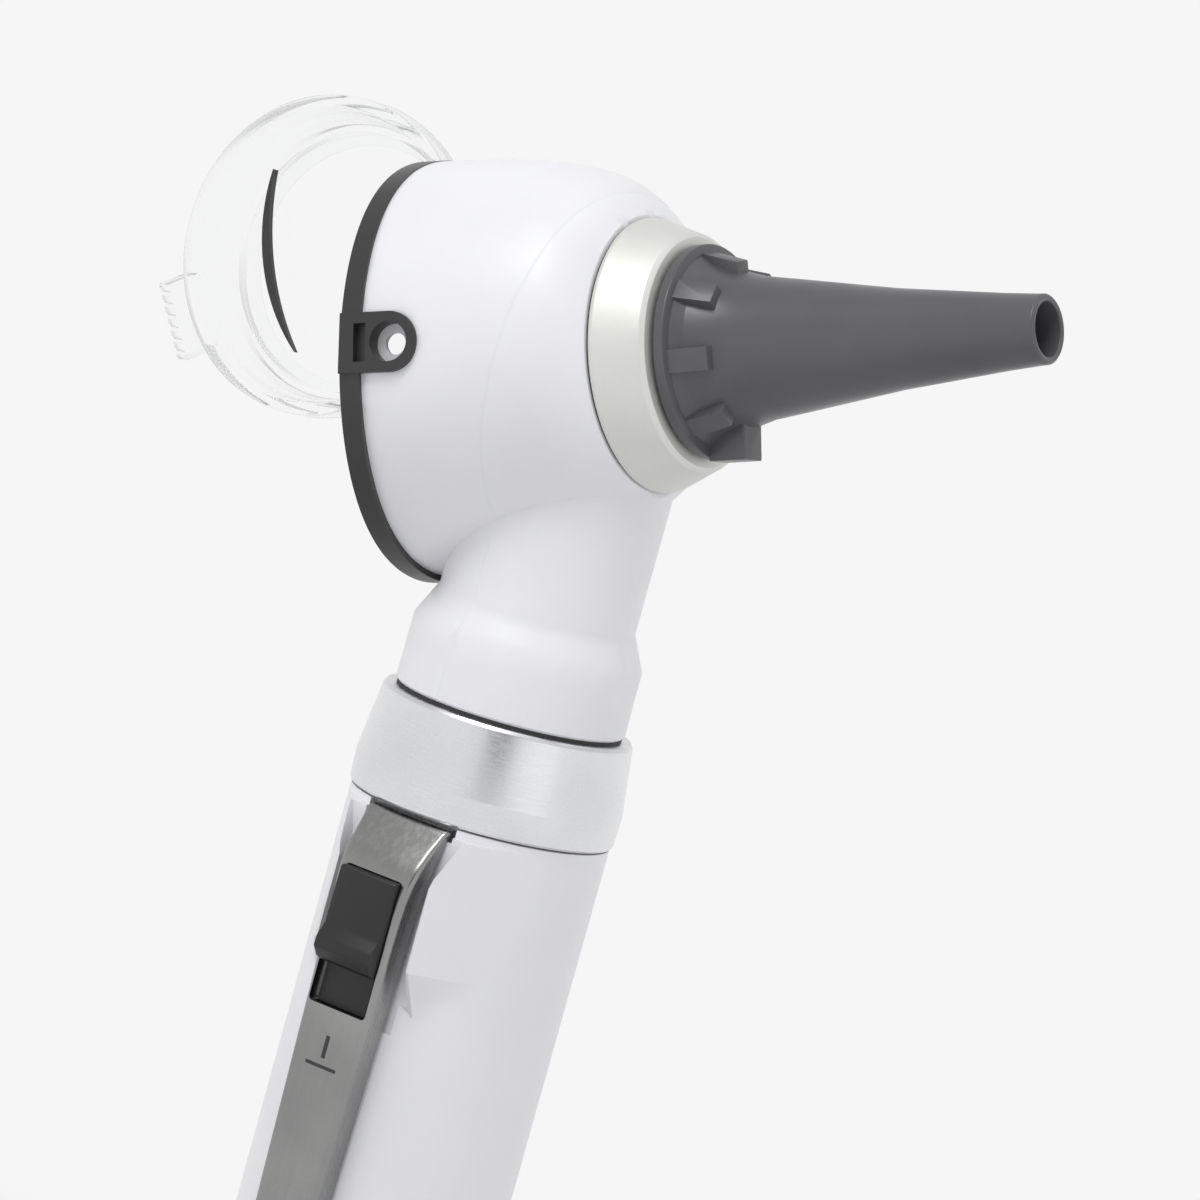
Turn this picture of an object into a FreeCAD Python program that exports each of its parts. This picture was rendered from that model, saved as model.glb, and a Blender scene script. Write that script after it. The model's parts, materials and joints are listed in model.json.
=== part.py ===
"""Pocket otoscope: handle with two cells, slide switch in the clip, lamp head, swing lens, ear tip.

Millimetres, +Z up the handle, origin at the centre of the end cap's flat foot.
The speculum points towards +X and up, the clip and its switch are on the -Y side.
"""
import FreeCAD
import Part
import math
import os
from FreeCAD import Vector

os.makedirs("parts", exist_ok=True)

# ---- driving dimensions -------------------------------------------------------------------
HANDLE_R = 9.9            # grip radius
SLEEVE_BORE_R = 7.6       # battery tube
SLEEVE_Z = (13.65, 119.9)
CAP_H = 13.0              # visible height of the end cap
SPIGOT_R, SPIGOT_TOP = 8.3, 19.0
CELL_R, CELL_CAN_H, CELL_NUB_R, CELL_NUB_H = 7.25, 49.2, 2.75, 1.3   # standard AA cell
CELL_Z = 11.0             # underside of the lower cell
RING_Z = (120.05, 127.87)
NECK_Z = 128.12
NECK_R, NECK_UPPER_R = 8.75, 7.45
CROSS = Vector(0, 0, 154.89)          # where the viewing axis crosses the handle axis
VIEW_TILT = 19.23         # viewing axis above horizontal, degrees
RIM_TILT = 15.34          # tilt of the rear rim's normal, degrees
RIM = Vector(-12.52, 0, 150.52)       # centre of the rear rim plane
RIM_BORE_R, RIM_SEAT_R = 11.8, 13.1   # opening, and the recess that takes the lens cup's flange
BAND = Vector(-14.05, 0, 149.87)      # centre of the black band's rear edge
BAND_TILT, BAND_R = 17.35, 15.7
BAND_W, BAND_BOW = 1.67, 1.89         # band width, and how far its edges bow forward at the sides
WALL = 1.5
SPLIT_X = -1.0            # joint plane between the two head shells
COLLAR_S = (4.45, 8.2)
SPECULUM_S = (8.4, 36.3)
TIP_BORE_R = 1.97
RIB_W, RIB_ANGLES, LATCH_ANGLE = 1.7, [9.5 + 45.0 * i for i in (0, 1, 2, 3, 5, 6, 7)], 180.0
LENS_HINGE = Vector(-18.01, 15.21, 154.01)
LENS_AXIS = Vector(0.05978, -0.2501, 0.96637)
LENS_OPEN = 92.6          # angle from closed to the stored open pose, degrees
LENS_GAP = 2.457 - 2.2    # closed flange stands this far behind the rim
PIN_R, KNUCKLE_BORE_R, KNUCKLE_R = 0.6, 0.65, 1.4
LUG_ANGLE, LUG_S, LUG_FACE, LUG_T, LUG_LEAN = 3.2, -9.15, 15.35, 1.4, 8.0
LUG_R, PORT_R = 2.2, 1.45
CLIP_FACE_Y, CLIP_T = -12.3, 0.5
CLIP_Z = (66.0, 115.0)
SLOT_Z, SLOT_HALF = (104.9, 115.4), 2.55
SLIDER_Z = (108.0, 115.3)

X, Y, Z = Vector(1, 0, 0), Vector(0, 1, 0), Vector(0, 0, 1)


def tilted(deg):
    """Forward and upward unit vectors of a frame leaning up by deg."""
    a = math.radians(deg)
    return Vector(math.cos(a), 0, math.sin(a)), Vector(-math.sin(a), 0, math.cos(a))


S, T = tilted(VIEW_TILT)
SR, VR = tilted(RIM_TILT)


def save(name, shape):
    shape = shape.removeSplitter() if len(shape.Solids) == 1 else shape
    if len(shape.Solids) == 1:
        shape = shape.Solids[0]
    shape.exportStep("parts/%s.step" % name)
    print(name, len(shape.Solids), round(shape.Volume, 1), shape.isValid())


def turned(profile, close=True):
    """Solid of revolution about Z from (radius, height) points."""
    pts = [Vector(r, 0, h) for r, h in profile]
    return Part.Face(Part.makePolygon(pts + [pts[0]])).revolve(Vector(), Z, 360)


def tube(r_out, r_in, z0, z1):
    outer = Part.makeCylinder(r_out, z1 - z0, Vector(0, 0, z0))
    return outer.cut(Part.makeCylinder(r_in, z1 - z0 + 2, Vector(0, 0, z0 - 1))) if r_in else outer


def box(x, y, z):
    return Part.makeBox(x[1] - x[0], y[1] - y[0], z[1] - z[0], Vector(x[0], y[0], z[0]))


def prism(points, z0, z1):
    """Polygon in XY pulled up from z0 to z1."""
    pts = [Vector(x, y, z0) for x, y in points]
    return Part.Face(Part.makePolygon(pts + [pts[0]])).extrude(Vector(0, 0, z1 - z0))


def plate_xz(points, y0, y1):
    """Polygon in XZ pulled along Y."""
    pts = [Vector(x, y0, z) for x, z in points]
    return Part.Face(Part.makePolygon(pts + [pts[0]])).extrude(Vector(0, y1 - y0, 0))


def plate_yz(points, x0, x1):
    """Polygon in YZ pulled along X."""
    pts = [Vector(x0, y, z) for y, z in points]
    return Part.Face(Part.makePolygon(pts + [pts[0]])).extrude(Vector(x1 - x0, 0, 0))


def placed(shape, origin, zdir, xdir):
    """Move a shape made about +Z so that Z runs along zdir and X near xdir."""
    out = shape.copy()
    out.Placement = FreeCAD.Placement(origin, FreeCAD.Rotation(xdir, Vector(), zdir, "ZXY")).multiply(shape.Placement)
    return out


def on_view(shape):
    return placed(shape, CROSS, S, T)


def on_rim(shape):
    return placed(shape, RIM, SR, VR)


def coil(radius, wire, z0, z1, turns, steps=16):
    """Round-wire compression spring between two heights, swept along short chords."""
    rise = (z1 - z0 - 2 * wire) / (turns * steps)
    pts = []
    for i in range(int(turns * steps) + 1):
        a = 2 * math.pi * i / steps
        pts.append(Vector(radius * math.cos(a), radius * math.sin(a), z0 + wire + rise * i))
    ring = Part.Wire(Part.makeCircle(wire, pts[0], pts[1] - pts[0]))
    return Part.makePolygon(pts).makePipeShell([ring], True, False, 1)


# ---- handle -------------------------------------------------------------------------------
CHEEK = [(4.3, -11.0), (8.05, -5.76), (-8.05, -5.76), (-4.3, -11.0)]
CHIN = [(4.39, -8.87), (8.05, -5.76), (-8.05, -5.76), (-4.39, -8.87)]


def handle_sleeve():
    body = Part.makeCylinder(HANDLE_R, SLEEVE_Z[1] - SLEEVE_Z[0], Vector(0, 0, SLEEVE_Z[0]))
    body = body.fuse(prism(CHEEK, 109.12, 119.3))
    rings = []
    for pts, z in ((CHIN, 105.6), (CHEEK, 109.12)):
        v = [Vector(x, y, z) for x, y in pts]
        rings.append(Part.makePolygon(v + [v[0]]))
    body = body.fuse(Part.makeLoft(rings, True, True))
    channel = [(-4.05, 104.0), (4.05, 104.0), (4.05, 115.5), (5.2, 119.4), (5.2, 121), (-5.2, 121),
               (-5.2, 119.4), (-4.05, 115.5)]
    body = body.cut(plate_xz(channel, -12.0, -9.35))
    body = body.cut(box((-3.9, 3.9), (-10.0, -8.15), (118.85, 121)))
    body = body.cut(tube(SLEEVE_BORE_R, 0, SLEEVE_Z[0] - 1, SLEEVE_Z[1] + 1))
    body = body.cut(tube(SPIGOT_R + 0.05, 0, SLEEVE_Z[0] - 1, SPIGOT_TOP + 0.6))
    return body.cut(Part.makeCylinder(0.6, 4, Vector(0, -11, 106.5), Y))


def thread_spigot():
    return turned([(6.6, 116.0), (7.6, 116.0), (7.6, 119.9), (8.5, 119.9), (8.5, 126.2),
                   (8.2, 126.5), (6.6, 126.5)])


def contact_carrier():
    body = turned([(0, 113.2), (7.5, 113.2), (7.5, 115.9), (6.5, 115.9), (6.5, 119.6), (0, 119.6)])
    body = body.cut(tube(2.9, 0, 112, 117.2))
    return body.cut(tube(1.55, 0, 112, 121))


def contact_pin():
    return turned([(0, 115.0), (2.6, 115.0), (2.6, 115.4), (1.5, 115.4), (1.5, 120.1), (1.1, 120.5), (0, 120.5)])


def contact_strip():
    body = tube(7.55, 7.3, 19.05, 108.5).common(box((-1.5, 1.5), (-9, 0), (19, 109)))
    foot = tube(8.2, 7.3, 19.05, 19.35).common(box((-1.5, 1.5), (-9, 0), (19, 20)))
    return body.fuse(foot)


def switch_terminal():
    return Part.makeCylinder(0.6, 2.25, Vector(0, -9.8, 106.5), Y)


def cell_can(z0):
    return turned([(0, z0), (6.4, z0), (7.0, z0 + 0.2), (CELL_R, z0 + 0.5), (CELL_R, z0 + 48.9),
                   (6.9, z0 + CELL_CAN_H), (0, z0 + CELL_CAN_H)])


def cell_nub(z0):
    z = z0 + CELL_CAN_H
    return turned([(0, z), (CELL_NUB_R, z), (CELL_NUB_R, z + 1.0), (2.4, z + CELL_NUB_H), (0, z + CELL_NUB_H)])


def end_cap():
    body = turned([(0, 0), (HANDLE_R - 0.8, 0), (HANDLE_R, 0.8), (HANDLE_R, CAP_H - 0.3), (HANDLE_R - 0.3, CAP_H), (SPIGOT_R, CAP_H),
                   (SPIGOT_R, SPIGOT_TOP - 0.3), (SPIGOT_R - 0.3, SPIGOT_TOP), (7.4, SPIGOT_TOP), (7.4, 10.5),
                   (7.0, 9.5), (7.0, 2.0), (0, 2.0)])
    slots = [box((HANDLE_R - 0.4, 11.0), (-0.4, 0.4), (2.6, 10.4))]
    for i in range(24):
        cutter = slots[0].copy()
        cutter.rotate(Vector(), Z, 15.0 * i)
        body = body.cut(cutter)
    return body


def cap_seal():
    return tube(HANDLE_R - 0.25, SPIGOT_R, CAP_H, CAP_H + 0.6)


def spring_plate():
    return tube(6.7, 0, 2.05, 2.55)


def battery_spring():
    return coil(4.6, 0.4, 2.55, CELL_Z, 4.5)


# ---- clip and switch ----------------------------------------------------------------------
def clip():
    half_top, half_mid, half_low = 3.6, 3.05, 2.0
    outline = [(-half_top, 119.7), (-half_mid, 113.0), (-half_low, 68.0), (-1.2, 66.0), (1.2, 66.0),
               (half_low, 68.0), (half_mid, 113.0), (half_top, 119.7)]
    outer = [(-8.3, 119.7), (-9.7, 119.7), (-10.3, 119.3), (-11.9, 116.3), (-12.3, 115.2), (-12.3, 76.0),
             (-11.3, 70.0), (-11.0, 68.2), (-11.6, 66.0)]
    inner = [(-11.1, 66.0), (-10.4, 68.2), (-10.8, 70.0), (-11.8, 76.0), (-11.8, 115.0), (-11.4, 116.0),
             (-9.9, 118.8), (-9.5, 119.1), (-8.3, 119.1)]
    face = plate_yz(outer + inner, -4, 4).common(plate_xz(outline, -14, -8))
    walls = plate_yz([(-12.3, 115.2), (-11.9, 116.3), (-10.3, 119.3), (-9.75, 119.3), (-9.75, 90.0),
                      (-10.6, 76.0), (-11.6, 72.0), (-12.0, 74.0), (-12.3, 76.0)], -4, 4)
    walls = walls.common(plate_xz(outline, -14, -8))
    core = [(-half_top + CLIP_T, 119.8), (-half_mid + CLIP_T, 113.0), (-half_low + CLIP_T, 68.0),
            (half_low - CLIP_T, 68.0), (half_mid - CLIP_T, 113.0), (half_top - CLIP_T, 119.8)]
    walls = walls.cut(plate_xz(core, -14, -8))
    body = face.fuse(walls)
    return body.cut(box((-SLOT_HALF, SLOT_HALF), (-14, -11.3), SLOT_Z))


def switch_base():
    body = plate_xz([(-2.3, 104.6), (2.3, 104.6), (2.45, 115.0), (-2.45, 115.0)], -11.3, -9.9)
    return body.cut(box((-1.0, 1.0), (-12, -9), (106.2, 113.9)))


def slider():
    x = 2.45
    side = [(-11.45, 108.15), (-11.45, 115.3), (-12.85, 115.3), (-13.05, 115.1), (-13.05, 111.6),
            (-13.75, 110.2), (-13.8, 109.6), (-13.6, 109.2), (-12.5, 108.0), (-11.45, 108.0)]
    cap = plate_yz(side, -x, x)
    stem = box((-0.9, 0.9), (-11.5, -10.2), (109.2, 113.4))
    shutter = box((-2.15, 2.15), (-11.7, -11.4), (104.95, 108.2))
    return cap.fuse(stem).fuse(shutter)


def switch_contact():
    leaf = box((-0.8, 0.8), (-10.2, -10.0), (109.2, 113.4))
    return leaf


# ---- head ---------------------------------------------------------------------------------
# station along the viewing axis, radius, and lift of the section's centre
BARREL = [(-17.0, 15.74, 0.0), (-15.0, 15.58, 0.03), (-13.0, 15.41, 0.08), (-11.0, 15.22, 0.18),
          (-9.0, 15.0, 0.31), (-7.0, 14.75, 0.43), (-5.0, 14.43, 0.54), (-3.5, 14.15, 0.62),
          (-2.0, 13.79, 0.7), (-0.5, 13.35, 0.78), (0.6, 12.97, 0.79), (1.6, 12.55, 0.74),
          (2.4, 12.06, 0.65), (3.2, 11.4, 0.5), (3.75, 10.84, 0.31), (4.25, 10.2, 0.1)]


def barrel(inset, last):
    wires = []
    for s, r, lift in BARREL[:last]:
        centre = CROSS + S * s + T * lift
        wires.append(Part.Wire(Part.makeCircle(r - inset, centre, S)))
    return Part.makeLoft(wires, True, False)


def ahead_of_band(offset):
    """Everything in front of a bowed sheet standing this far forward of the band's rear edge."""
    radius = 16.0 ** 2 / (2 * BAND_BOW)
    forward, up = tilted(BAND_TILT)
    drum = Part.makeCylinder(radius, 60, Vector(0, 0, -30))
    return placed(drum, BAND + forward * (offset + radius), up, forward)


def lug():
    """Tongue of the band that carries the insufflation port, on the near side, leaning in as the head narrows."""
    a, lean = math.radians(LUG_ANGLE), math.radians(LUG_LEAN)
    side_out = Y * -math.cos(a) + T * math.sin(a)
    along = S * math.cos(lean) - side_out * math.sin(lean)
    out = side_out * math.cos(lean) + S * math.sin(lean)
    base = CROSS + S * LUG_S + side_out * LUG_FACE - out * LUG_T
    body = placed(Part.makeCylinder(LUG_R, LUG_T), base, out, along)
    strap = Part.makeBox(4.4, 2 * LUG_R, LUG_T, Vector(-4.4, -LUG_R, 0))
    body = body.fuse(placed(strap, base, out, along)).common(ahead_of_band(0))
    port = placed(Part.makeCylinder(PORT_R, 8, Vector(0, 0, -2)), base, out, along)
    slot = placed(Part.makeBox(0.95, 2.8, 4, Vector(-2.74, -1.4, LUG_T - 0.7)), base, out, along)
    vent = placed(Part.makeCylinder(0.8, 6, Vector(0, 0, -5)), base, out, along)
    return body, port, slot, vent


def neck():
    return turned([(0, NECK_Z), (NECK_R - 0.2, NECK_Z), (NECK_R, NECK_Z + 0.2), (NECK_R - 0.05, 133.2),
                   (NECK_UPPER_R, 135.85), (NECK_UPPER_R, 150.0), (0, 150.0)])


def head_shells():
    shell = barrel(0, len(BARREL)).common(ahead_of_band(BAND_W)).fuse(neck())
    shell = shell.cut(barrel(WALL, 12))
    shell = shell.cut(tube(5.0, 0, NECK_Z - 1, 148))
    shell = shell.cut(on_view(tube(6.5, 0, -2, 6))).cut(on_view(tube(30, 0, 4.25, 30)))
    body, port, slot, vent = lug()
    shell = shell.cut(body).cut(vent)
    rear = shell.common(box((-40, SPLIT_X), (-25, 25), (120, 190)))
    front = shell.common(box((SPLIT_X, 40), (-25, 25), (120, 190)))
    return rear, front


def rear_ring():
    """Black band round the head's rear edge, with the lens seat, the port lug and two hinge ears."""
    forward, up = tilted(BAND_TILT)
    band = placed(tube(BAND_R, RIM_SEAT_R + 0.3, -1, 5), BAND, forward, up).common(ahead_of_band(0))
    for sign in (-1, 1):
        band = band.fuse(ear(sign))
    band = band.cut(ahead_of_band(BAND_W))
    seat = on_rim(tube(RIM_SEAT_R + 0.6, RIM_BORE_R, -4, 1.2)).cut(on_rim(tube(RIM_SEAT_R, 0, -5, 0)))
    body, port, slot, vent = lug()
    ring = band.fuse(seat.common(ahead_of_band(0))).fuse(body).cut(neck())
    ring = ring.cut(placed(Part.makeCylinder(PIN_R, 20, Vector(0, 0, -10)), LENS_HINGE, LENS_AXIS, SR))
    return ring.cut(port).cut(slot)


def ear(sign):
    """Hinge ear on the far side of the rim, its strap flush with the band."""
    low = 1.55 if sign > 0 else -2.95
    along = SR - LENS_AXIS * SR.dot(LENS_AXIS)
    along.normalize()
    forward, up = tilted(BAND_TILT)
    disc = placed(Part.makeCylinder(1.5, 1.4, Vector(0, 0, low)), LENS_HINGE, LENS_AXIS, along)
    strap = placed(Part.makeBox(8.6, 3.6, 1.4, Vector(-1.0, -2.1, low)), LENS_HINGE, LENS_AXIS, along)
    flush = placed(Part.makeCylinder(BAND_R, 40, Vector(0, 0, -20)), BAND, forward, up)
    return disc.fuse(strap.common(flush).cut(on_rim(Part.makeCylinder(RIM_SEAT_R, 12, Vector(0, 0, -12)))))


def hinge_pin():
    return placed(Part.makeCylinder(PIN_R, 5.9, Vector(0, 0, -2.95)), LENS_HINGE, LENS_AXIS, SR)


def coupling_ring():
    return turned([(8.55, 120.05), (9.95, 120.05), (10.1, 120.2), (10.18, 122.4), (9.55, 127.6),
                   (9.35, RING_Z[1]), (6.05, RING_Z[1]), (6.05, 126.8), (8.55, 126.8)])


def neck_seal():
    return tube(8.6, 6.05, RING_Z[1], NECK_Z)


def neck_bush():
    body = turned([(0, 121.0), (5.8, 121.0), (6.0, 121.2), (6.0, NECK_Z), (4.95, NECK_Z), (4.95, 137.0), (0, 137.0)])
    return body.cut(tube(3.0, 0, 124.0, 138)).cut(tube(1.85, 0, 120, 125))


def lamp_socket():
    return tube(3.0, 2.25, 124.0, 138.5)


def head_contact():
    return turned([(0, 120.5), (1.4, 120.5), (1.85, 120.9), (1.85, 124.2), (0, 124.2)])


def lamp_base():
    return turned([(1.5, 130.6), (2.2, 130.6), (2.2, 138.5), (2.75, 138.5), (2.75, 139.1), (1.5, 139.1)])


def lamp_insulator():
    return tube(1.5, 0.7, 130.6, 131.6)


def lamp_tip():
    return turned([(0, 130.0), (0.6, 130.0), (1.0, 130.3), (1.0, 130.6), (0.7, 130.6), (0.7, 132.0), (0, 132.0)])


def lamp_bulb():
    arc_out = [(2.1 * math.cos(math.radians(a)), 143.9 + 2.1 * math.sin(math.radians(a))) for a in range(0, 91, 15)]
    arc_in = [(1.6 * math.cos(math.radians(a)), 143.9 + 1.6 * math.sin(math.radians(a))) for a in range(90, -1, -15)]
    return turned([(2.1, 139.1)] + arc_out[:-1] + [(0, 146.0), (0, 145.5)] + arc_in[1:] + [(1.6, 139.1)])


def lamp_filament():
    posts = Part.makeCylinder(0.15, 9.5, Vector(0.8, 0, 133)).fuse(Part.makeCylinder(0.15, 9.5, Vector(-0.8, 0, 133)))
    wire = Part.makeCylinder(0.12, 1.8, Vector(-0.9, 0, 142.4), X)
    bead = Part.makeCylinder(1.1, 0.8, Vector(0, 0, 137.5))
    return posts.fuse(wire).fuse(bead)


def speculum_seat():
    return on_view(turned([(3.4, 1.6), (6.5, 1.6), (6.5, 4.45), (5.55, 4.45), (5.4, 8.2), (3.95, 13.6),
                           (3.3, 13.6), (3.4, 8.0)]))


def collar_seal():
    return on_view(tube(9.85, 6.5, 4.25, COLLAR_S[0]))


def collar():
    return on_view(turned([(5.6, 4.45), (10.05, 4.45), (10.05, 4.75), (8.75, 7.9), (8.4, 8.2), (5.6, 8.2)]))


def speculum():
    outer = [(7.6, 8.4), (7.83, 8.6), (7.83, 9.3), (7.1, 9.45), (6.5, 10.2), (6.0, 11.2), (5.6, 12.3), (5.25, 13.5),
             (4.84, 16.3), (3.65, 24.4), (2.75, 33.0), (2.55, 35.7), (2.4, 36.2), (2.2, 36.3)]
    inner = [(TIP_BORE_R, 36.1), (TIP_BORE_R, 33.6), (2.9, 24.4), (4.1, 16.3), (4.4, 14.0), (5.75, 8.9), (6.0, 8.4)]
    body = turned(outer + inner)
    hollow = turned([(0, 8.0)] + [(6.02, 8.0)] + inner[::-1][:-1] + [(0, 33.0)])
    for angle in RIB_ANGLES:
        rib = plate_xz([(4.6, 9.2), (7.3, 9.2), (6.4, 12.2), (4.6, 12.2)], -RIB_W / 2, RIB_W / 2)
        rib.rotate(Vector(), Z, angle)
        body = body.fuse(rib.cut(hollow))
    latch = box((4.6, 8.05), (-1.3, 1.3), (9.2, 12.2))
    latch.rotate(Vector(), Z, LATCH_ANGLE)
    body = body.fuse(latch.cut(hollow))
    return on_view(body)


# ---- swing lens ---------------------------------------------------------------------------
def swung(shape):
    """Carry a part made on the closed rim frame to the stored open pose."""
    out = on_rim(shape)
    out.rotate(LENS_HINGE, LENS_AXIS, -LENS_OPEN)
    return out


def behind(profile):
    """Revolve (radius, distance behind the rim) about the rim axis."""
    return turned([(r, -LENS_GAP - d) for r, d in profile])


def lens_frame():
    cup = behind([(11.6, 0), (12.55, 0), (12.55, 2.4), (12.1, 2.5), (12.0, 3.6), (11.5, 3.8), (11.2, 6.6), (10.8, 7.2),
                  (9.4, 7.2), (9.4, 6.8), (10.25, 6.8), (10.25, 4.2), (10.8, 4.2)])
    rim = on_rim(cup)
    hub = placed(Part.makeCylinder(KNUCKLE_R, 2.9, Vector(0, 0, -1.45)), LENS_HINGE, LENS_AXIS, SR)
    inward = (RIM - SR * (LENS_GAP + 1.6)) - LENS_HINGE
    inward = inward - LENS_AXIS * inward.dot(LENS_AXIS)
    inward.normalize()
    arm = placed(Part.makeBox(5.6, 2.0, 2.9, Vector(0, -1.0, -1.45)), LENS_HINGE, LENS_AXIS, inward)
    keep_out = on_rim(Part.makeCylinder(11.7, 12, Vector(0, 0, -10)))
    tab = Part.makeBox(3.2, 6.4, 1.5, Vector(11.9, -3.2, -LENS_GAP - 2.4))
    for i in range(6):
        tab = tab.cut(Part.makeCylinder(0.3, 5, Vector(15.2, -2.5 + i, -4)))
    tab.rotate(Vector(), Z, TAB_ANGLE)
    body = rim.fuse(hub).fuse(arm.cut(keep_out)).fuse(on_rim(tab))
    body = body.cut(placed(Part.makeCylinder(KNUCKLE_BORE_R, 8, Vector(0, 0, -4)), LENS_HINGE, LENS_AXIS, SR))
    body.rotate(LENS_HINGE, LENS_AXIS, -LENS_OPEN)
    return body


def magnifier():
    """Biconvex lens turned from two spherical faces."""
    r, edge, crown = 10.2, 0.7, 0.75
    back = [(r * k / 6.0, edge + crown * (1 - (k / 6.0) ** 2)) for k in range(6, -1, -1)]
    front = [(r * k / 6.0, -edge - crown * (1 - (k / 6.0) ** 2)) for k in range(0, 7)]
    mid = 5.35
    return swung(turned([(p, h - LENS_GAP - mid) for p, h in front + back]))


def lens_baffle():
    """Black crescent bonded to the lens's front face: inside one arc and outside a flatter one."""
    depth, low = 1.0, -LENS_GAP - 4.8
    outer = Part.makeCylinder(15.54, depth, Vector(6.67, -4.91, low))
    inner = Part.makeCylinder(25.26, depth, Vector(14.15, -12.26, low))
    band = outer.cut(inner).common(Part.makeCylinder(10.15, depth, Vector(0, 0, low)))
    return swung(band).cut(magnifier())


TAB_ANGLE = 144.0         # around the rim axis, from the rim's up direction towards the near side

rear, front = head_shells()
NODES = [
    ("handle_sleeve", handle_sleeve()), ("thread_spigot", thread_spigot()),
    ("contact_carrier", contact_carrier()), ("contact_pin", contact_pin()),
    ("contact_spring", coil(2.1, 0.2, 112.0, 115.0, 3)), ("contact_strip", contact_strip()),
    ("switch_terminal", switch_terminal()), ("cell_lower_can", cell_can(CELL_Z)),
    ("cell_lower_nub", cell_nub(CELL_Z)), ("cell_upper_can", cell_can(CELL_Z + 50.5)),
    ("cell_upper_nub", cell_nub(CELL_Z + 50.5)), ("end_cap", end_cap()), ("cap_seal", cap_seal()),
    ("spring_plate", spring_plate()), ("battery_spring", battery_spring()), ("clip", clip()),
    ("switch_base", switch_base()), ("switch_slider", slider()), ("switch_contact", switch_contact()),
    ("head_rear_shell", rear), ("head_front_shell", front), ("rear_ring", rear_ring()),
    ("hinge_pin", hinge_pin()), ("coupling_ring", coupling_ring()), ("neck_seal", neck_seal()),
    ("neck_bush", neck_bush()), ("lamp_socket", lamp_socket()), ("head_contact", head_contact()),
    ("lamp_contact_spring", coil(1.4, 0.22, 124.2, 130.0, 4.5)), ("lamp_base", lamp_base()),
    ("lamp_insulator", lamp_insulator()), ("lamp_tip", lamp_tip()), ("lamp_bulb", lamp_bulb()),
    ("lamp_filament", lamp_filament()), ("speculum_seat", speculum_seat()), ("collar_seal", collar_seal()),
    ("collar", collar()), ("speculum", speculum()), ("lens_frame", lens_frame()),
    ("magnifier_lens", magnifier()), ("lens_baffle", lens_baffle()),
]
for node, shape in NODES:
    save(node, shape)
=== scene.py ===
"""Visual model of the pocket otoscope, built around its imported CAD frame.

Local outlines are in millimetres and become metres in build(). Row frame: +Z up the handle,
+X the way the speculum points, -Y the clip side, origin at the foot of the end cap.
"""

import bmesh
import bpy
import json
import math
from mathutils import Matrix, Vector


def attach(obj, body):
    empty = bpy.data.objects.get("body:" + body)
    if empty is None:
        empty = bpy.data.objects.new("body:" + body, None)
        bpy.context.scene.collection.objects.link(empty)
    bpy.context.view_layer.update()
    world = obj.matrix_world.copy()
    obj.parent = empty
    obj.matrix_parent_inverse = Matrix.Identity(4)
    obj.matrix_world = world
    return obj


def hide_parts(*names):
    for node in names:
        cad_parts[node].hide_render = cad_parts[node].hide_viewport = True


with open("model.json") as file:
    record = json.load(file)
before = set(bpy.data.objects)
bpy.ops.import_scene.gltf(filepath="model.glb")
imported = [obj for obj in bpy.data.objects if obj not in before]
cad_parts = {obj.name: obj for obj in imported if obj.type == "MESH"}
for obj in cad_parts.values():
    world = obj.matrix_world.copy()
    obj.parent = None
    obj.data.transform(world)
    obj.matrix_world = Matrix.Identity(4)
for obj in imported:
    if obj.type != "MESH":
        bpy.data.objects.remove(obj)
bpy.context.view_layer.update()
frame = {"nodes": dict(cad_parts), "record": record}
NODES = frame["nodes"]
MM = 0.001

# ---- dimensions shared with the CAD model, millimetres ------------------------------------
VIEW_TILT, RIM_TILT = 19.23, 15.34
CROSS = Vector((0, 0, 154.89))
RIM = Vector((-12.52, 0, 150.52))
LENS_HINGE = Vector((-18.01, 15.21, 154.01))
LENS_AXIS = Vector((0.05978, -0.2501, 0.96637)).normalized()
LENS_OPEN, LENS_GAP = 92.6, 0.257
TAB_ANGLE = 144.0
RIB_ANGLES = [9.5 + 45.0 * i for i in (0, 1, 2, 3, 5, 6, 7)]
LATCH_ANGLE = 180.0
X, Y, Z = Vector((1, 0, 0)), Vector((0, 1, 0)), Vector((0, 0, 1))

# ---- mesh limits: angles in degrees, distances in metres ----------------------------------
CREASE, SOFT_CREASE = 38.0, 50.0
BEVEL_FROM, CAD_BEVEL_FROM, STRAIGHT_FROM = 35.0, 32.0, 172.0
SEAM, CAD_SEAM = 1e-7, 2e-6


def tilted(degrees):
    """Directions along and across an axis raised from +X towards +Z."""
    a = math.radians(degrees)
    return Vector((math.cos(a), 0, math.sin(a))), Vector((-math.sin(a), 0, math.cos(a)))


S, T = tilted(VIEW_TILT)
SR, VR = tilted(RIM_TILT)


def basis(origin, zdir, xdir):
    """Frame whose Z runs along zdir and X as near xdir as it can."""
    z = Vector(zdir).normalized()
    x = (Vector(xdir) - z * z.dot(Vector(xdir))).normalized()
    m = Matrix((x, z.cross(x), z)).transposed().to_4x4()
    m.translation = Vector(origin)
    return m


def turned(degrees):
    """Rotation about the local Z axis."""
    return Matrix.Rotation(math.radians(degrees), 4, "Z")


UPRIGHT = Matrix.Identity(4)
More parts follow.
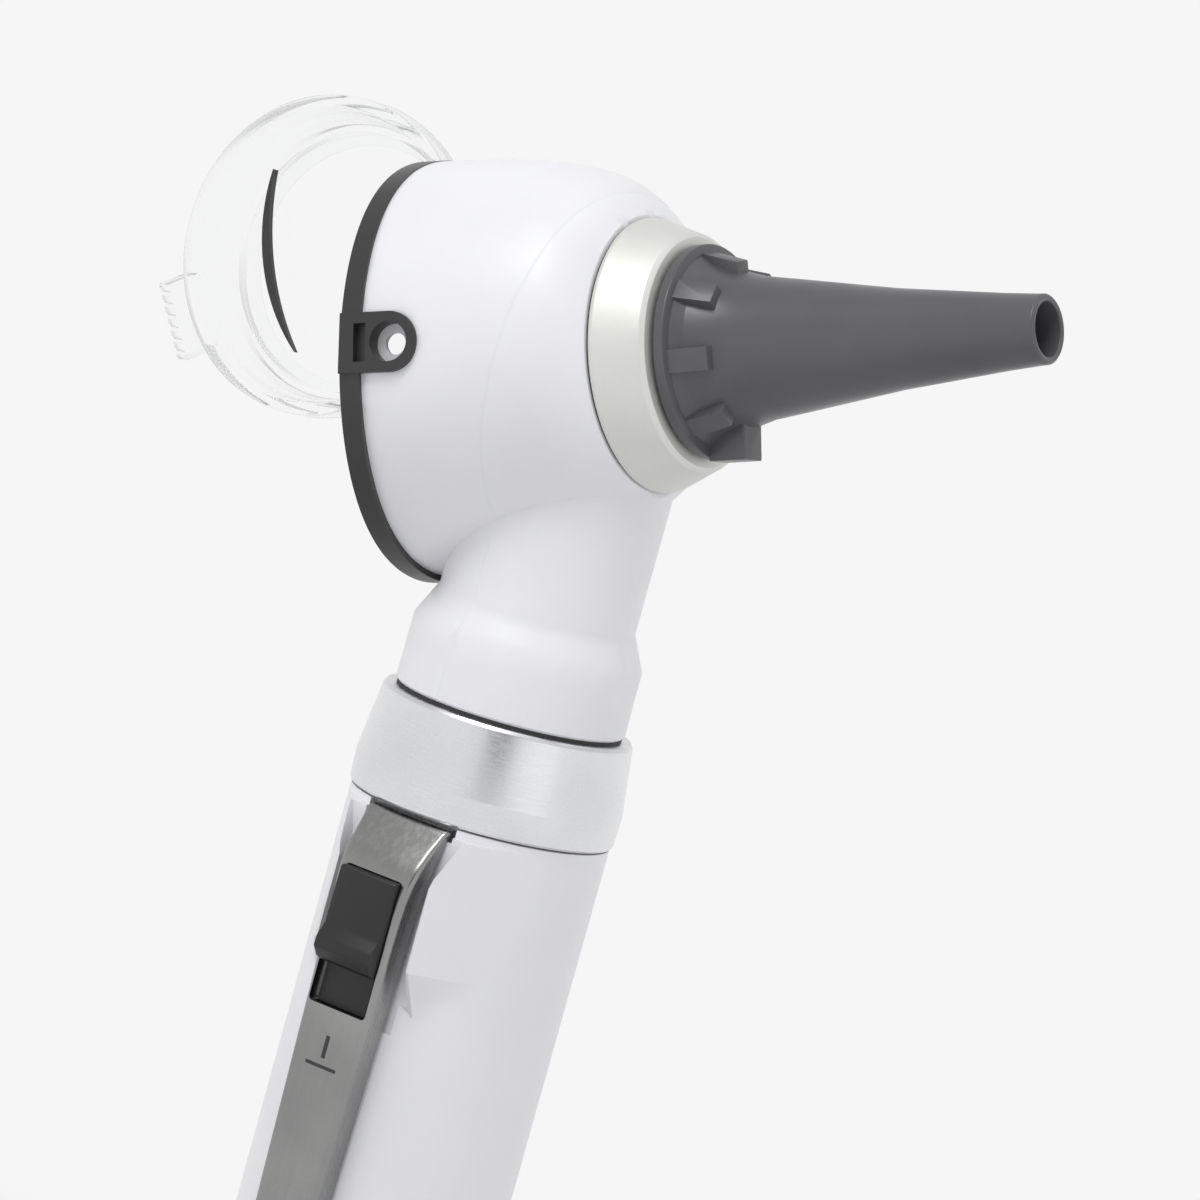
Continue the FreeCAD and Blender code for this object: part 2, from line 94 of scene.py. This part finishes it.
# Slab axes stood up: ON_EDGE takes (-height, radius) outlines, LYING takes (y, z) ones.
ON_EDGE = Matrix(((0, 1, 0, 0), (0, 0, -1, 0), (-1, 0, 0, 0), (0, 0, 0, 1)))
LYING = Matrix(((0, 0, 1, 0), (1, 0, 0, 0), (0, 1, 0, 0), (0, 0, 0, 1)))
ON_VIEW = basis(CROSS, S, T)
ON_RIM = basis(RIM, SR, VR)
ON_HINGE = basis(LENS_HINGE, LENS_AXIS, SR)
SWING = (Matrix.Translation(LENS_HINGE) @ Matrix.Rotation(math.radians(-LENS_OPEN), 4, LENS_AXIS)
         @ Matrix.Translation(-LENS_HINGE))


# ---- mesh tools ---------------------------------------------------------------------------
def build(name, verts, faces, matrix=UPRIGHT):
    """Mesh object from local millimetre points, smooth-shaded with sharp creases kept."""
    mesh = bpy.data.meshes.new(name)
    mesh.from_pydata([tuple((matrix @ Vector(v)) * MM) for v in verts], [], faces)
    obj = bpy.data.objects.new(name, mesh)
    bpy.context.scene.collection.objects.link(obj)
    tidy(obj)
    return obj


def tidy(obj, sharp=CREASE):
    """Welds loose seams, points the normals out and sets smooth shading."""
    bm = bmesh.new()
    bm.from_mesh(obj.data)
    bmesh.ops.remove_doubles(bm, verts=bm.verts, dist=SEAM)
    bmesh.ops.recalc_face_normals(bm, faces=bm.faces)
    bm.to_mesh(obj.data)
    bm.free()
    obj.data.polygons.foreach_set("use_smooth", [True] * len(obj.data.polygons))
    obj.data.set_sharp_from_angle(angle=math.radians(sharp))
    obj.data.update()


def corner_arc(p, before, after, reach, steps):
    """Points of the curve that cuts corner p, starting and ending reach away from it."""
    a, b = p + before.normalized() * reach, p + after.normalized() * reach
    along = [k / steps for k in range(steps + 1)]
    return [a * (1 - t) ** 2 + p * 2 * t * (1 - t) + b * t * t for t in along]


def rounded(points, radius=0.15, steps=3):
    """Closed (x, y) outline with its corners cut to small arcs.

    A third item sets a corner's own radius.
    """
    out, count = [], len(points)
    for i, point in enumerate(points):
        p = Vector(point[:2])
        r = point[2] if len(point) > 2 else radius
        u, v = Vector(points[i - 1][:2]) - p, Vector(points[(i + 1) % count][:2]) - p
        if r <= 0 or u.length < 1e-6 or v.length < 1e-6 or u.angle(v) > math.radians(STRAIGHT_FROM):
            out.append(tuple(p))
            continue
        reach = min(r / math.tan(u.angle(v) / 2), 0.45 * u.length, 0.45 * v.length)
        out += [tuple(q) for q in corner_arc(p, u, v, reach, steps)]
    return out


def lathe(name, outline, matrix=UPRIGHT, segments=128, radius=0.15, ripple=None):
    """Closed (radius, height) outline turned about the local Z axis.

    ripple(radius, height, angle) is added to the radius.
    """
    profile = rounded(outline, radius)
    verts, rings = [], []
    for r, h in profile:
        if r < 1e-4:
            rings.append([len(verts)] * segments)
            verts.append((0, 0, h))
            continue
        rings.append(list(range(len(verts), len(verts) + segments)))
        for i in range(segments):
            a = 2 * math.pi * i / segments
            rr = r + (ripple(r, h, a) if ripple else 0.0)
            verts.append((rr * math.cos(a), rr * math.sin(a), h))
    faces = []
    for j, ring in enumerate(rings):
        nxt = rings[(j + 1) % len(rings)]
        for i in range(segments):
            k = (i + 1) % segments
            quad = [ring[i], ring[k], nxt[k], nxt[i]]
            loop = [v for n, v in enumerate(quad) if v != quad[n - 1]]
            if len(loop) > 2:
                faces.append(loop)
    return build(name, verts, faces, matrix)


def slab(name, outline, low, high, matrix=UPRIGHT, radius=0.3, edge=0.12, steps=4):
    """Outline in local XY pulled from low to high, with rounded corners and softened edges."""
    ring = rounded(outline, radius, steps)
    n = len(ring)
    verts = [(x, y, low) for x, y in ring] + [(x, y, high) for x, y in ring]
    faces = [list(range(n))[::-1], list(range(n, 2 * n))]
    faces += [[i, (i + 1) % n, n + (i + 1) % n, n + i] for i in range(n)]
    obj = build(name, verts, faces, matrix)
    if edge:
        soften(obj, edge)
    return obj


def apply_modifiers(obj):
    """Replaces a mesh by what its modifiers make of it."""
    bpy.context.view_layer.update()
    graph = bpy.context.evaluated_depsgraph_get()
    mesh = bpy.data.meshes.new_from_object(obj.evaluated_get(graph))
    old = obj.data
    obj.modifiers.clear()
    obj.data = mesh
    bpy.data.meshes.remove(old)


def bevel_edges(obj, width, segments, angle):
    """Bevel modifier, width in millimetres, on edges that turn by more than angle."""
    bevel = obj.modifiers.new("soft edges", "BEVEL")
    bevel.width, bevel.segments = width * MM, segments
    bevel.limit_method, bevel.angle_limit = "ANGLE", math.radians(angle)


def soften(obj, width):
    """Rounds the edges of a new piece."""
    bevel_edges(obj, width, 3, BEVEL_FROM)
    apply_modifiers(obj)
    tidy(obj, SOFT_CREASE)


def combine(base, others, operation="UNION"):
    """Boolean of base with each of the others, which are used up."""
    for other in others:
        boolean = base.modifiers.new("join", "BOOLEAN")
        boolean.operation, boolean.object, boolean.solver = operation, other, "EXACT"
        apply_modifiers(base)
        bpy.data.objects.remove(other)
    tidy(base)
    return base


def brick(x, y, z, name, matrix=UPRIGHT, edge=0.0):
    """Box between (low, high) pairs in local X, Y and Z."""
    corners = [(x[0], y[0]), (x[1], y[0]), (x[1], y[1]), (x[0], y[1])]
    return slab(name, corners, z[0], z[1], matrix, 0, edge)


def crease_nodes(names, width):
    """Softens the edges of CAD solids that keep their own shape."""
    for name in names:
        obj = NODES[name]
        weld = obj.modifiers.new("weld", "WELD")
        weld.merge_threshold = CAD_SEAM
        bevel_edges(obj, width, 2, CAD_BEVEL_FROM)
        smooth = obj.modifiers.new("even normals", "WEIGHTED_NORMAL")
        smooth.keep_sharp = True


# ---- materials ----------------------------------------------------------------------------
def material(name, base, roughness, metallic=0.0, **settings):
    """Principled material; settings name further sockets, with _ for a space."""
    mat = bpy.data.materials.new(name)
    mat.use_nodes = True
    shader = mat.node_tree.nodes["Principled BSDF"]
    shader.inputs["Base Color"].default_value = (*base, 1)
    shader.inputs["Roughness"].default_value = roughness
    shader.inputs["Metallic"].default_value = metallic
    for key, value in settings.items():
        shader.inputs[key.replace("_", " ")].default_value = value
    return mat


def node(mat, kind, **values):
    """New shader node with its sockets or its properties set."""
    n = mat.node_tree.nodes.new(kind)
    for key, value in values.items():
        if key in n.inputs:
            n.inputs[key].default_value = value
        else:
            setattr(n, key, value)
    return n


def object_noise(mat, scale, stretch=(1, 1, 1), turn=(0, 0, 0), detail=3.0):
    """Noise over the row frame, in features of about 1/scale metres, stretched along an axis."""
    links = mat.node_tree.links
    coords = node(mat, "ShaderNodeTexCoord")
    mapping = node(mat, "ShaderNodeMapping")
    mapping.inputs["Rotation"].default_value = turn
    mapping.inputs["Scale"].default_value = stretch
    noise = node(mat, "ShaderNodeTexNoise", Scale=scale, Detail=detail)
    links.new(coords.outputs["Object"], mapping.inputs["Vector"])
    links.new(mapping.outputs["Vector"], noise.inputs["Vector"])
    return noise.outputs["Fac"]


def spread(mat, fac, low, high):
    """Noise from 0.3 to 0.7 mapped onto low to high."""
    remap = node(mat, "ShaderNodeMapRange")
    remap.inputs["From Min"].default_value, remap.inputs["From Max"].default_value = 0.3, 0.7
    remap.inputs["To Min"].default_value, remap.inputs["To Max"].default_value = low, high
    mat.node_tree.links.new(fac, remap.inputs["Value"])
    return remap.outputs["Result"]


def tint(mat, fac, low, high):
    """Colour that drifts between two shades."""
    mix = node(mat, "ShaderNodeMix", data_type="RGBA")
    mix.inputs["A"].default_value, mix.inputs["B"].default_value = (*low, 1), (*high, 1)
    mat.node_tree.links.new(spread(mat, fac, 0.0, 1.0), mix.inputs["Factor"])
    out = [o for o in mix.outputs if o.type == "RGBA"][0]
    mat.node_tree.links.new(out, mat.node_tree.nodes["Principled BSDF"].inputs["Base Color"])


def finish_surface(mat, rough=None, bump=None):
    """rough: (noise, low, high); bump: (noise, strength, distance in metres)."""
    shader, links = mat.node_tree.nodes["Principled BSDF"], mat.node_tree.links
    if rough:
        links.new(spread(mat, *rough), shader.inputs["Roughness"])
    if bump:
        height = node(mat, "ShaderNodeBump")
        height.inputs["Strength"].default_value = bump[1]
        height.inputs["Distance"].default_value = bump[2]
        links.new(bump[0], height.inputs["Height"])
        links.new(height.outputs["Normal"], shader.inputs["Normal"])
    return mat


def moulded(name, low, high, roughness, grain=1800.0, **settings):
    """Injection-moulded plastic: faint cloudiness, a fine spark-eroded grain and uneven sheen."""
    clouds, sheen, depth = 90.0, 260.0, 0.00003
    mat = material(name, high, roughness, **settings)
    tint(mat, object_noise(mat, clouds), low, high)
    return finish_surface(mat, (object_noise(mat, sheen), roughness - 0.05, roughness + 0.06),
                          (object_noise(mat, grain, detail=2.0), 0.12, depth))


def metal(name, low, high, rough_low, rough_high, scale, stretch, turn=(0, 0, 0), metallic=1.0):
    """Bare metal with tool marks drawn out along one direction."""
    clouds, depth = 120.0, 0.00002
    mat = material(name, high, rough_high, metallic)
    marks = object_noise(mat, scale, stretch, turn, 4.0)
    tint(mat, object_noise(mat, clouds), low, high)
    return finish_surface(mat, (marks, rough_low, rough_high), (marks, 0.1, depth))


VIEW_TURN = (0, math.radians(VIEW_TILT), 0)
MATERIALS = {
    "white_plastic": moulded("white moulding", (0.775, 0.775, 0.805), (0.815, 0.815, 0.845), 0.40,
                             Subsurface_Weight=0.05, Subsurface_Scale=0.001),
    "black_plastic": moulded("black moulding", (0.024, 0.024, 0.025), (0.031, 0.031, 0.032), 0.36,
                             2600.0),
    "speculum_plastic": moulded("ear tip moulding", (0.084, 0.081, 0.089), (0.099, 0.096, 0.104),
                                0.33, 2200.0),
    "cell_jacket": moulded("cell jacket", (0.030, 0.040, 0.075), (0.035, 0.046, 0.085), 0.3),
    "ceramic": moulded("lamp insulator", (0.70, 0.67, 0.60), (0.78, 0.75, 0.68), 0.6),
    "black_rubber": moulded("seal rubber", (0.026, 0.026, 0.027), (0.036, 0.036, 0.037), 0.65,
                            3000.0),
    "satin_aluminium": metal("satin aluminium", (0.72, 0.725, 0.745), (0.79, 0.795, 0.81),
                             0.24, 0.34, 900.0, (1, 1, 8)),
    "clip_steel": metal("stamped steel", (0.27, 0.27, 0.267), (0.34, 0.34, 0.336),
                        0.20, 0.34, 700.0, (4, 4, 0.25)),
    "pearl_nickel": metal("pearl nickel", (0.71, 0.71, 0.68), (0.77, 0.77, 0.74),
                          0.50, 0.60, 700.0, (12, 1, 1), VIEW_TURN, metallic=0.65),
    "brass": metal("contact brass", (0.68, 0.50, 0.22), (0.80, 0.62, 0.32),
                   0.22, 0.38, 900.0, (1, 1, 4)),
    "spring_steel": metal("spring steel", (0.55, 0.55, 0.56), (0.66, 0.66, 0.67),
                          0.18, 0.30, 1500.0, (1, 1, 1)),
    "lamp_nickel": metal("lamp nickel", (0.62, 0.60, 0.56), (0.72, 0.70, 0.66),
                         0.15, 0.28, 900.0, (1, 1, 6)),
    "filament": metal("tungsten wire", (0.25, 0.24, 0.23), (0.36, 0.35, 0.34),
                      0.35, 0.5, 3000.0, (1, 1, 1)),
}


def clear(name, colour, roughness, ior):
    """Clear acrylic or glass with a slightly uneven polish."""
    mat = material(name, colour, roughness, 0.0, Transmission_Weight=1.0, IOR=ior)
    return finish_surface(mat, (object_noise(mat, 200.0), roughness, roughness + 0.03),
                          (object_noise(mat, 140.0, detail=1.0), 0.04, 0.0001))


MATERIALS["clear_plastic"] = clear("clear acrylic", (0.975, 0.978, 0.98), 0.12, 1.1)
MATERIALS["lens_glass"] = clear("lens glass", (0.99, 0.992, 0.993), 0.02, 1.12)
MATERIALS["bulb_glass"] = clear("lamp glass", (0.98, 0.985, 0.99), 0.01, 1.45)


def dress(obj, body, slot, *replaced, finish=None):
    """Gives a new piece its body, its slot, its finish and the CAD nodes that it stands for."""
    obj.data.materials.clear()
    obj.data.materials.append(finish or MATERIALS[slot])
    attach(obj, body)
    if replaced:
        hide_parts(*replaced)
    return obj


# ---- carried-over CAD solids --------------------------------------------------------------
for part in frame["record"]["subparts"]:
    shown = NODES[part["node"]]
    shown.data.materials.clear()
    shown.data.materials.append(MATERIALS[part["material_slot"]])
crease_nodes(["handle_sleeve"], 0.15)
crease_nodes(["head_rear_shell", "head_front_shell"], 0.14)
crease_nodes(["rear_ring", "switch_base", "speculum_seat"], 0.12)


# ---- turned pieces ------------------------------------------------------------------------
def make_coupling_ring():
    """Ring below the neck, widest near its foot, with a lip turned in at the top."""
    outline = [(8.55, 120.05), (9.94, 120.05), (10.09, 120.22, 0.1), (10.17, 122.4, 0.5),
               (9.54, 127.6, 0.2), (9.35, 127.86, 0.08), (6.05, 127.86), (6.05, 126.8),
               (8.55, 126.8)]
    return dress(lathe("coupling_ring_turned", outline, segments=160, radius=0.08), "head",
                 "satin_aluminium", "coupling_ring")


def make_collar():
    """Conical collar behind the ear tip's flange."""
    outline = [(5.6, 4.45), (10.05, 4.45), (10.05, 4.75, 0.15), (8.75, 7.9, 0.25), (8.4, 8.2, 0.1),
               (5.6, 8.2)]
    return dress(lathe("collar_turned", outline, ON_VIEW, 160, 0.08), "head", "pearl_nickel",
                 "collar")


def make_end_cap():
    """Turned cap with a band of fine grip flutes."""
    flute_count, flute_depth, flute_low, flute_high, skin = 24, 0.22, 2.4, 10.6, 9.4

    def flutes(r, h, a):
        inside = flute_low < h < flute_high and r > skin
        return -flute_depth * max(0.0, math.cos(flute_count * a)) ** 3 if inside else 0.0

    foot = [(0, 0, 0), (9.1, 0, 0.2), (9.9, 0.8, 0.3)]
    side = [(9.9, h, 0) for h in (1.9, 2.3, 2.6, 4.5, 6.5, 8.5, 10.4, 10.7, 11.2)]
    shoulder = [(9.9, 12.7, 0.15), (9.6, 13.0, 0.1), (8.3, 13.0, 0.1)]
    skirt = [(8.3, 18.7, 0.1), (8.0, 19.0, 0.1), (7.4, 19.0, 0.05)]
    inner = [(7.4, 10.5, 0.1), (7.0, 9.5, 0.1), (7.0, 2.0, 0.2), (0, 2.0, 0)]
    outline = foot + side + shoulder + skirt + inner
    return dress(lathe("end_cap_fluted", outline, segments=288, radius=0.1, ripple=flutes),
                 "end_cap", "satin_aluminium", "end_cap")


def make_speculum():
    """Ear tip: flange, flared root with grip ribs and a latch, long taper and rolled lip."""
    flange = [(7.6, 8.4, 0.1), (7.83, 8.6, 0.1), (7.83, 9.3, 0.12), (7.05, 9.42, 0.15)]
    taper = [(6.45, 10.2, 0.5), (5.98, 11.2, 0.6), (5.58, 12.3, 0.8), (5.22, 13.6, 1.0),
             (4.84, 16.3, 2.0), (3.65, 24.4, 3.0), (2.75, 33.0, 1.5)]
    lip = [(2.54, 35.6, 0.3), (2.52, 36.1, 0.18), (2.3, 36.3, 0.12), (1.98, 36.2, 0.1)]
    bore = [(1.98, 33.6, 0.3), (2.9, 24.4, 1.0), (4.1, 16.3, 1.0), (4.4, 14.0, 0.5),
            (5.75, 8.9, 0.1), (6.0, 8.4, 0.05)]
    body = lathe("speculum_moulded", flange + taper + lip + bore, ON_VIEW, 192)
    ribs = []
    for angle in RIB_ANGLES:
        stand = ON_VIEW @ turned(angle) @ ON_EDGE
        side = [(-9.25, 5.6), (-9.25, 7.28), (-12.15, 6.42), (-12.15, 5.2), (-10.5, 5.5)]
        ribs.append(slab("rib", side, -0.85, 0.85, stand, 0.08, 0.07, 3))
    turn = ON_VIEW @ turned(LATCH_ANGLE)
    ribs.append(brick((5.3, 8.02), (-1.3, 1.3), (9.25, 12.2), "latch", turn, 0.1))
    return dress(combine(body, ribs), "speculum", "speculum_plastic", "speculum")


# ---- swing lens ---------------------------------------------------------------------------
def make_lens_frame():
    """Clear stepped cup with its hinge knuckle, arm and ridged finger tab."""
    section = [(11.6, 0, 0.1), (12.55, 0, 0.25), (12.55, 2.4, 0.2), (12.1, 2.5, 0.15),
               (12.0, 3.6, 0.15), (11.5, 3.8, 0.2), (11.2, 6.6, 0.6), (10.8, 7.2, 0.4),
               (9.4, 7.2, 0.15), (9.4, 6.8, 0.1), (10.25, 6.8, 0.05), (10.25, 4.2, 0.05),
               (10.8, 4.2, 0.1)]
    outline = [(r, -LENS_GAP - depth, corner) for r, depth, corner in section]
    cup = lathe("lens_cup_clear", outline, SWING @ ON_RIM, 160, 0.12)
    inward = (RIM - SR * (LENS_GAP + 1.6)) - LENS_HINGE
    on_arm = SWING @ basis(LENS_HINGE, LENS_AXIS, inward)
    knuckle = [(0.66, -1.45), (1.4, -1.45), (1.4, 1.45), (0.66, 1.45)]
    hub = lathe("hub", knuckle, SWING @ ON_HINGE, 48, 0.1)
    arm = brick((0.9, 4.6), (-0.95, 0.95), (-1.4, 1.4), "arm", on_arm, 0.15)
    turn = SWING @ ON_RIM @ turned(TAB_ANGLE)
    tab = brick((12.2, 15.05), (-3.15, 3.15), (-LENS_GAP - 2.38, -LENS_GAP - 0.92), "tab", turn,
                0.12)
    cutter = [(0, -4.0), (0.28, -4.0), (0.28, 1.0), (0, 1.0)]
    grooves = [lathe("groove", cutter, turn @ Matrix.Translation((15.15, -2.5 + i, 0)), 16, 0)
               for i in range(6)]
    tab = combine(tab, grooves, "DIFFERENCE")
    body = combine(cup, [tab, arm, hub])
    return dress(body, "lens", "clear_plastic", "lens_frame")


def make_magnifier():
    """Biconvex lens with two shallow domed faces."""
    r, edge, crown, mid, steps = 10.2, 0.7, 0.75, 5.35, 12
    rise = [(r * k / steps, edge + crown * (1 - (k / steps) ** 2)) for k in range(steps, -1, -1)]
    fall = [(p, -h) for p, h in rise[::-1]]
    outline = [(p, h - LENS_GAP - mid, 0) for p, h in fall + rise]
    return dress(lathe("magnifier_polished", outline, SWING @ ON_RIM, 128), "lens", "lens_glass",
                 "magnifier_lens")


# ---- clip and switch ----------------------------------------------------------------------
def blend_steps(table, at):
    """Value read from (position, value) pairs along straight lines, held level past the ends."""
    for (p0, v0), (p1, v1) in zip(table, table[1:]):
        if p0 <= at <= p1:
            return v0 + (v1 - v0) * (at - p0) / (p1 - p0)
    return table[0][1] if at < table[0][0] else table[-1][1]


def clip_path():
    """(y, z) line of the clip's outer face from tongue to toe, with bends, in short steps."""
    corners = [(-8.35, 119.68), (-9.72, 119.68, 0.5), (-11.95, 116.2, 1.6), (-12.3, 114.6, 2.0),
               (-12.3, 76.5, 8.0), (-11.3, 70.6, 2.5), (-11.0, 68.3, 1.5), (-11.62, 66.05)]
    path = [Vector(corners[0])]
    for before, corner, after in zip(corners, corners[1:], corners[2:]):
        p = Vector(corner[:2])
        u, v = Vector(before[:2]) - p, Vector(after[:2]) - p
        path += corner_arc(p, u, v, min(corner[2], 0.48 * u.length, 0.48 * v.length), 8)
    path.append(Vector(corners[-1]))
    longest_step, dense = 1.2, []
    for a, b in zip(path, path[1:]):
        n = max(1, int((b - a).length / longest_step))
        dense += [a.lerp(b, k / n) for k in range(n)]
    return dense + [path[-1]]


def clip_section(w, deep, thick=0.5):
    """Channel outline, w to each side and deep along its walls."""
    return rounded([(-w, -deep, 0.12), (-w, 0, 0.5), (w, 0, 0.5), (w, -deep, 0.12),
                    (w - thick, -deep, 0.12), (w - thick, -thick, 0.15),
                    (thick - w, -thick, 0.15), (thick - w, -deep, 0.12)], 0.1, 4)


def make_clip():
    """Folded strip: tongue under the ring, ramp, channel with the switch slot, sprung toe."""
    half = [(66.0, 1.15), (66.5, 1.6), (68.0, 2.0), (113.0, 3.05), (119.7, 3.6)]
    wall = [(66.0, 0.55), (70.5, 0.55), (76.0, 1.4), (88.0, 2.4), (114.5, 2.45), (117.5, 1.6),
            (119.2, 0.75), (119.7, 0.55)]
    dense, tongue_rows, verts, count = clip_path(), 3, [], 0
    for i, p in enumerate(dense):
        d = (dense[min(i + 1, len(dense) - 1)] - dense[max(i - 1, 0)]).normalized()
        normal = Vector((d.y, -d.x)) if d.y < 0 else Vector((-d.y, d.x))
        if i < tongue_rows:
            normal = Vector((0, 1))
        if normal.x > 0:
            normal = -normal
        section = clip_section(blend_steps(half, p.y), blend_steps(wall, p.y))
        count = len(section)
        for x, h in section:
            q = p + normal * h
            verts.append((x, q.x, q.y))
    faces = [list(range(count))[::-1], list(range(len(verts) - count, len(verts)))]
    for i in range(len(dense) - 1):
        for k in range(count):
            m = (k + 1) % count
            faces.append([i * count + k, i * count + m, (i + 1) * count + m, (i + 1) * count + k])
    body = build("clip_folded", verts, faces)
    window = [(-2.55, -115.4), (2.55, -115.4), (2.55, -104.9), (-2.55, -104.9)]
    slot = slab("slot", window, 0, 2.75, basis((0, -14, 0), Y, X), 0.35, 0)
    return dress(combine(body, [slot], "DIFFERENCE"), "clip", "clip_steel", "clip")


def make_slider():
    """Thumb slide: flat pad above, raised rounded grip at its lower end."""
    side = [(-11.45, 108.0, 0.1), (-11.45, 115.3, 0.1), (-12.95, 115.3, 0.3), (-13.02, 113.0, 3.0),
            (-13.04, 110.9, 1.0), (-13.68, 109.9, 0.7), (-13.74, 109.1, 0.4), (-13.0, 108.3, 0.4),
            (-12.4, 108.0, 0.3)]
    pad = slab("slider_pad", side, -2.45, 2.45, LYING, 0.3, 0.28, 5)
    stem = brick((-0.9, 0.9), (-11.6, -10.2), (109.2, 113.4), "stem", UPRIGHT, 0.05)
    shutter = brick((-2.15, 2.15), (-11.7, -11.4), (104.97, 108.2), "shutter", UPRIGHT, 0.03)
    finish = moulded("slide moulding", (0.009, 0.009, 0.009), (0.014, 0.014, 0.014), 0.42, 2600.0)
    return dress(combine(pad, [stem, shutter]), "switch", "black_plastic", "switch_slider",
                 finish=finish)


def make_switch_mark():
    """Printed bar with an underline, by the switch."""
    face = basis((0, -12.3, 101.4), -Y, X)
    bar = brick((-0.16, 0.16), (-0.2, 1.5), (-0.05, 0.02), "switch_mark_bar", face, 0)
    line = brick((-1.35, 1.35), (-0.95, -0.7), (-0.05, 0.02), "switch_mark_line", face, 0)
    for obj in (bar, line):
        dress(obj, "clip", "black_plastic")


make_coupling_ring()
make_collar()
make_end_cap()
make_speculum()
make_lens_frame()
make_magnifier()
make_clip()
make_slider()
make_switch_mark()


# ---- stage --------------------------------------------------------------------------------
PALE = 0.92
OVERHEAD = 0.66
# The first pair is the span of distances over which the floor's painted shade pool fades into the
# glow.
SHADE_POOL_EDGE, FLOOR_EDGE, FLOOR_DROP = (0.10, 0.34), 6.0, 0.0005
NECK = Vector((0, 0, 0.14))
FLAG_AWAY, FLAG_HALF_WIDTH, FLAG_HEIGHTS = 3.0, 0.6, (0.5, 2.2)
CAMERA_MM = Vector((228.90, -380.85, 194.30))


def make_floor():
    """Disc that takes the object's soft shadow near it and fades into the backdrop; its darker grey
    near the object, fading with distance into a glow that matches the backdrop, is painted shade.
    """
    mat = bpy.data.materials.new("floor with painted shade pool")
    mat.use_nodes = True
    tree = mat.node_tree
    shader = tree.nodes["Principled BSDF"]
    # Painted shade: near the object the floor is a darker diffuse grey, which fades by distance
    # from the object into the glow.
    shader.inputs["Base Color"].default_value = (0.62, 0.62, 0.625, 1)
    shader.inputs["Roughness"].default_value = 0.9
    glow = tree.nodes.new("ShaderNodeEmission")
    glow.inputs["Color"].default_value = (PALE, PALE, PALE, 1)
    coords, length = tree.nodes.new("ShaderNodeTexCoord"), tree.nodes.new("ShaderNodeVectorMath")
    length.operation = "LENGTH"
    fade = tree.nodes.new("ShaderNodeMapRange")
    fade.inputs["From Min"].default_value, fade.inputs["From Max"].default_value = SHADE_POOL_EDGE
    fade.inputs["To Min"].default_value, fade.inputs["To Max"].default_value = 0.0, 1.0
    mix = tree.nodes.new("ShaderNodeMixShader")
    tree.links.new(coords.outputs["Object"], length.inputs[0])
    tree.links.new(length.outputs["Value"], fade.inputs["Value"])
    tree.links.new(fade.outputs["Result"], mix.inputs["Fac"])
    tree.links.new(shader.outputs["BSDF"], mix.inputs[1])
    tree.links.new(glow.outputs["Emission"], mix.inputs[2])
    tree.links.new(mix.outputs["Shader"], tree.nodes["Material Output"].inputs["Surface"])
    bm = bmesh.new()
    bmesh.ops.create_circle(bm, cap_ends=True, segments=96, radius=FLOOR_EDGE)
    mesh = bpy.data.meshes.new("floor")
    bm.to_mesh(mesh)
    bm.free()
    floor = bpy.data.objects.new("floor", mesh)
    floor.location.z = -FLOOR_DROP
    floor.data.materials.append(mat)
    bpy.context.scene.collection.objects.link(floor)


def make_world():
    """Pale surround, even at eye level and dimmer overhead."""
    world = bpy.data.worlds.new("studio")
    world.use_nodes = True
    tree = world.node_tree
    coords, split = tree.nodes.new("ShaderNodeTexCoord"), tree.nodes.new("ShaderNodeSeparateXYZ")
    rise = tree.nodes.new("ShaderNodeMapRange")
    rise.inputs["From Min"].default_value, rise.inputs["From Max"].default_value = 0.05, 0.6
    rise.inputs["To Min"].default_value, rise.inputs["To Max"].default_value = PALE, OVERHEAD
    tree.links.new(coords.outputs["Generated"], split.inputs[0])
    tree.links.new(split.outputs["Z"], rise.inputs["Value"])
    tree.nodes["Background"].inputs["Color"].default_value = (1, 1, 1, 1)
    tree.links.new(rise.outputs["Result"], tree.nodes["Background"].inputs["Strength"])
    bpy.context.scene.world = world


def softbox(name, place, size, power):
    """Rectangular white light aimed at the neck."""
    light = bpy.data.lights.new(name, "AREA")
    light.shape, light.size, light.size_y = "RECTANGLE", *size
    light.energy = power
    obj = bpy.data.objects.new(name, light)
    obj.location = place
    obj.rotation_euler = (NECK - Vector(place)).to_track_quat("-Z", "Y").to_euler()
    bpy.context.scene.collection.objects.link(obj)


def make_flag():
    """Black card above eye level on the camera's side, for a dark streak in the satin ring."""
    towards = Vector((0.515, -0.857, 0.0)) * FLAG_AWAY
    sideways = Vector((0.857, 0.515, 0.0)) * FLAG_HALF_WIDTH
    corners = [towards - sideways, towards + sideways]
    verts = [tuple(c + Z * h) for h in FLAG_HEIGHTS for c in corners]
    mesh = bpy.data.meshes.new("flag")
    mesh.from_pydata(verts, [], [(0, 1, 3, 2)])
    flag = bpy.data.objects.new("flag", mesh)
    flag.data.materials.append(material("flag cloth", (0.01, 0.01, 0.01), 1.0))
    bpy.context.scene.collection.objects.link(flag)


def make_camera():
    """Long lens a little above the head, on the clip side."""
    camera = bpy.data.cameras.new("camera")
    camera.sensor_width, camera.lens = 36.0, 182.52
    camera.clip_start, camera.clip_end = 0.01, 50.0
    obj = bpy.data.objects.new("camera", camera)
    right = Vector((0.81319, 0.51758, 0.26615))
    back = Vector((0.50283, -0.85507, 0.12652)).normalized()
    turn = Matrix((right, back.cross(right).normalized(), back)).transposed()
    obj.matrix_world = Matrix.Translation(CAMERA_MM * MM) @ turn.to_4x4()
    bpy.context.scene.collection.objects.link(obj)
    bpy.context.scene.camera = obj


make_floor()
make_world()
make_flag()
softbox("key", (-0.03, -0.42, 0.80), (0.35, 0.3), 2.6)
softbox("overhead", (0.15, 0.10, 0.75), (0.5, 0.5), 0.3)
softbox("right", (0.65, -0.25, 0.30), (0.4, 0.5), 0.12)
make_camera()
bpy.context.scene.view_settings.view_transform = "Standard"
